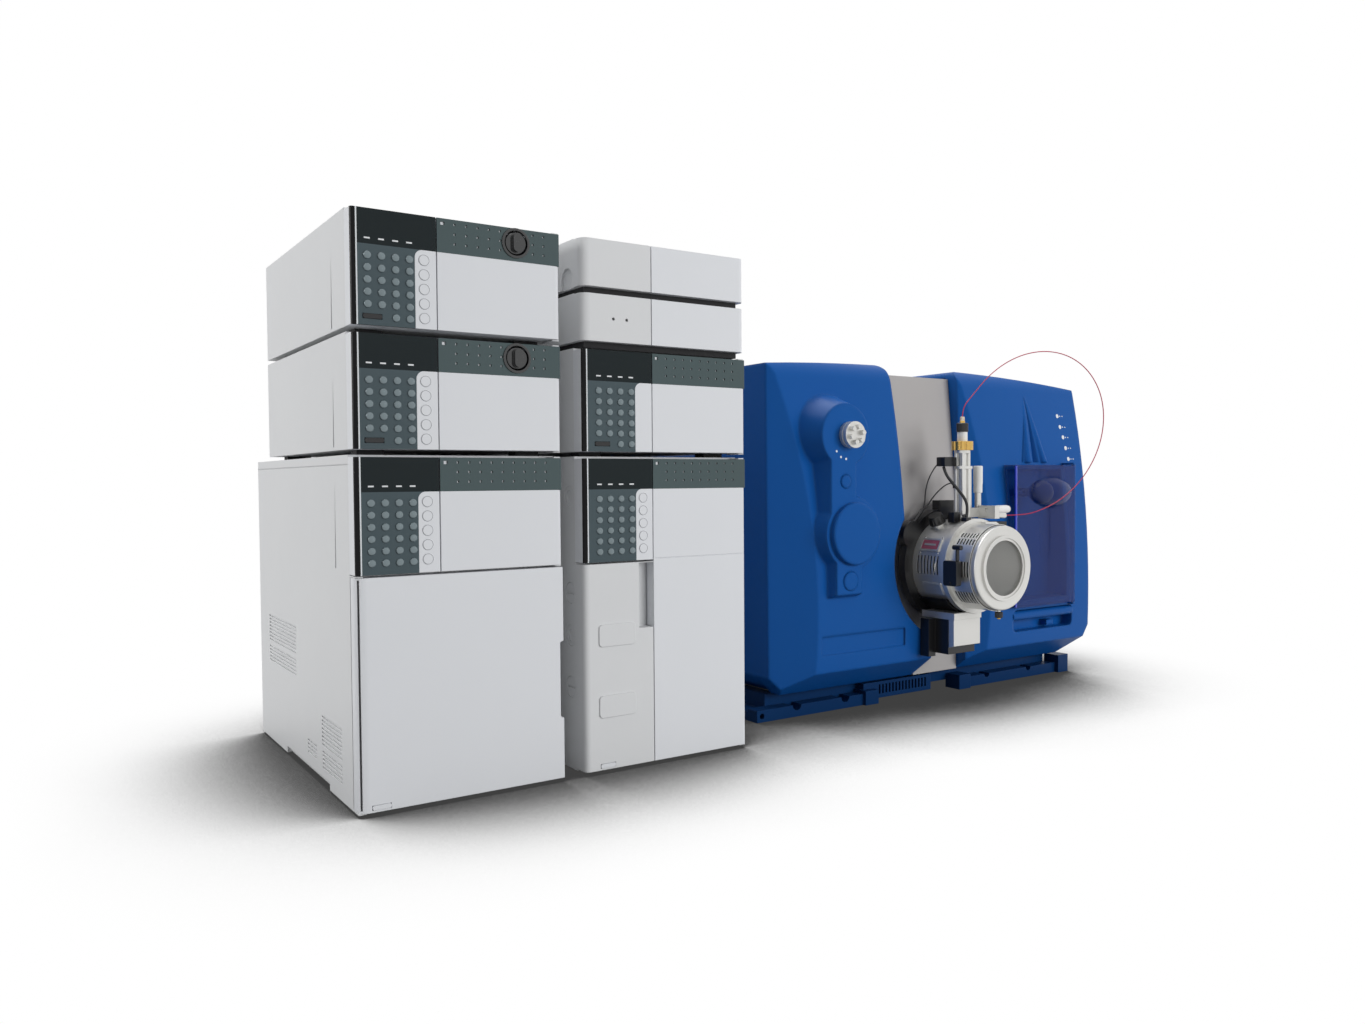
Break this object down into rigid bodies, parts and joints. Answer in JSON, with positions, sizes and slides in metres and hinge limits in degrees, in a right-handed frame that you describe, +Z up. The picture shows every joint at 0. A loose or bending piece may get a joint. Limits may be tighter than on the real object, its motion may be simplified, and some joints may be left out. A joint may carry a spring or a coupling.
{
  "type": "liquid chromatograph with mass spectrometer",
  "caption": "Two stacks of white chromatography modules beside a blue benchtop mass spectrometer with a vented round ion source, probe and red tubing loop.",
  "frame": {"origin": "centre of the whole system's footprint, at bench level", "axes": "+X to the right along the fronts, +Y to the back, +Z up"},
  "size_m": [1.44, 0.8366, 0.695],
  "materials": {
    "white_enamel": "satin",
    "white_moulding": "satin",
    "slate_strip": "satin",
    "keypad_film": "glossy",
    "black_plastic": "satin",
    "rubber": "matt",
    "blue_paint": "satin",
    "navy_paint": "satin",
    "warm_grey_paint": "satin",
    "machined_steel": "machined",
    "brass": "satin",
    "window_glass": "clear",
    "tinted_door": "glossy",
    "dark_ball": "glossy",
    "red_polymer": "glossy",
    "black_cable": "satin"
  },
  "bodies": {
    "frame": {"control_overlays": "keypad_film", "detector_case": "white_enamel", "detector_console": "white_moulding", "drain_block": "machined_steel", "injection_valve": "machined_steel", "long_lead": "black_cable", "module_feet": "rubber", "ms_base": "navy_paint", "ms_chassis": "warm_grey_paint", "ms_left_cover": "blue_paint", "ms_right_cover": "blue_paint", "oven_case": "white_enamel", "oven_column": "machined_steel", "oven_console": "white_moulding", "port_plugs": "white_enamel", "probe": "machined_steel", "pump_a_case": "white_enamel", "pump_a_console": "white_moulding", "pump_a_head": "machined_steel", "pump_b_case": "white_enamel", "pump_b_console": "white_moulding", "pump_b_head": "machined_steel", "red_tube": "red_polymer", "sampler_case": "white_enamel", "sampler_console": "white_moulding", "sampler_rack": "black_plastic", "short_lead": "black_cable", "slim_cases": "white_enamel", "slim_covers": "white_moulding", "source_cable": "black_cable", "source_flange": "black_plastic", "source_housing": "machined_steel", "source_ring": "machined_steel", "source_window": "window_glass"},
    "pump_a_cover": {"pump_a_cover": "white_moulding", "pump_a_vent_strip": "slate_strip"},
    "pump_a_power_button": {"pump_a_power_button": "black_plastic"},
    "pump_b_cover": {"pump_b_cover": "white_moulding", "pump_b_vent_strip": "slate_strip"},
    "pump_b_power_button": {"pump_b_power_button": "black_plastic"},
    "detector_cover": {"detector_cover": "white_moulding", "detector_vent_strip": "slate_strip"},
    "detector_power_button": {"detector_power_button": "black_plastic"},
    "pump_a_drain_knob": {"pump_a_drain_knob": "black_plastic"},
    "pump_b_drain_knob": {"pump_b_drain_knob": "black_plastic"},
    "sampler_cover": {"sampler_cover": "white_moulding", "sampler_vent_strip": "slate_strip"},
    "sampler_door": {"sampler_door": "white_moulding"},
    "sampler_power_button": {"sampler_power_button": "white_moulding"},
    "oven_door": {"oven_door": "white_moulding", "oven_vent_strip": "slate_strip"},
    "oven_power_button": {"oven_power_button": "white_moulding"},
    "valve_button_upper": {"valve_button_upper": "blue_paint"},
    "valve_button_lower": {"valve_button_lower": "blue_paint"},
    "source_latch": {"source_latch": "black_plastic"},
    "upright_micrometer": {"upright_micrometer": "machined_steel"},
    "side_micrometer": {"side_micrometer": "machined_steel"},
    "probe_nut": {"probe_nut": "brass"},
    "syringe_door": {"syringe_door": "tinted_door"},
    "syringe_knob": {"syringe_knob": "dark_ball"}
  },
  "joints": [
    {"name": "pump_a_cover_hinge", "type": "hinge", "parent": "frame", "child": "pump_a_cover", "pos_m": [-0.465, -0.334, 0.626], "axis": [0, 0, 1], "range_deg": [0, 105]},
    {"name": "pump_a_power_press", "type": "slide", "parent": "frame", "child": "pump_a_power_button", "axis": [0, 1, 0], "range_m": [0, 0.0025], "stiffness_N_per_m": 400},
    {"name": "pump_b_cover_hinge", "type": "hinge", "parent": "frame", "child": "pump_b_cover", "pos_m": [-0.465, -0.334, 0.486], "axis": [0, 0, 1], "range_deg": [0, 105]},
    {"name": "pump_b_power_press", "type": "slide", "parent": "frame", "child": "pump_b_power_button", "axis": [0, 1, 0], "range_m": [0, 0.0025], "stiffness_N_per_m": 400},
    {"name": "detector_cover_hinge", "type": "hinge", "parent": "frame", "child": "detector_cover", "pos_m": [-0.174, -0.334, 0.486], "axis": [0, 0, 1], "range_deg": [0, 105]},
    {"name": "detector_power_press", "type": "slide", "parent": "frame", "child": "detector_power_button", "axis": [0, 1, 0], "range_m": [0, 0.0025], "stiffness_N_per_m": 400},
    {"name": "pump_a_drain_turn", "type": "hinge", "parent": "frame", "child": "pump_a_drain_knob", "pos_m": [-0.5195, -0.334, 0.674], "axis": [0, 1, 0], "range_deg": [0, 180]},
    {"name": "pump_b_drain_turn", "type": "hinge", "parent": "frame", "child": "pump_b_drain_knob", "pos_m": [-0.5195, -0.334, 0.534], "axis": [0, 1, 0], "range_deg": [0, 180]},
    {"name": "sampler_cover_hinge", "type": "hinge", "parent": "frame", "child": "sampler_cover", "pos_m": [-0.465, -0.334, 0.345], "axis": [0, 0, 1], "range_deg": [0, 105]},
    {"name": "sampler_door_hinge", "type": "hinge", "parent": "frame", "child": "sampler_door", "pos_m": [-0.715, -0.334, 0.14], "axis": [0, 0, 1], "range_deg": [-105, 0]},
    {"name": "sampler_power_press", "type": "slide", "parent": "sampler_door", "child": "sampler_power_button", "axis": [0, 1, 0], "range_m": [0, 0.0025], "stiffness_N_per_m": 400},
    {"name": "oven_door_hinge", "type": "hinge", "parent": "frame", "child": "oven_door", "pos_m": [-0.174, -0.334, 0.208], "axis": [0, 0, 1], "range_deg": [0, 105]},
    {"name": "oven_power_press", "type": "slide", "parent": "frame", "child": "oven_power_button", "axis": [0, 1, 0], "range_m": [0, 0.0025], "stiffness_N_per_m": 400},
    {"name": "valve_button_upper_press", "type": "slide", "parent": "frame", "child": "valve_button_upper", "axis": [0, 1, 0], "range_m": [0, 0.003], "stiffness_N_per_m": 500},
    {"name": "valve_button_lower_press", "type": "slide", "parent": "frame", "child": "valve_button_lower", "axis": [0, 1, 0], "range_m": [0, 0.003], "stiffness_N_per_m": 500},
    {"name": "source_latch_swing", "type": "hinge", "parent": "frame", "child": "source_latch", "pos_m": [0.238, -0.362, 0.212], "axis": [1, 0, 0], "range_deg": [0, 60]},
    {"name": "upright_micrometer_turn", "type": "hinge", "parent": "frame", "child": "upright_micrometer", "pos_m": [0.363, -0.309, 0.34], "axis": [0, 0, 1], "range_deg": [-180, 180]},
    {"name": "side_micrometer_turn", "type": "hinge", "parent": "frame", "child": "side_micrometer", "pos_m": [0.367, -0.334, 0.329], "axis": [1, 0, 0], "range_deg": [-180, 180]},
    {"name": "probe_nut_turn", "type": "hinge", "parent": "frame", "child": "probe_nut", "pos_m": [0.323, -0.309, 0.438], "axis": [0, 0, 1], "range_deg": [-180, 180]},
    {"name": "syringe_door_hinge", "type": "hinge", "parent": "frame", "child": "syringe_door", "pos_m": [0.65958, -0.287, 0.276], "axis": [0, 0, 1], "range_deg": [0, 100]},
    {"name": "syringe_knob_slide", "type": "slide", "parent": "frame", "child": "syringe_knob", "axis": [1, 0, 0], "range_m": [0, 0.034]}
  ]
}
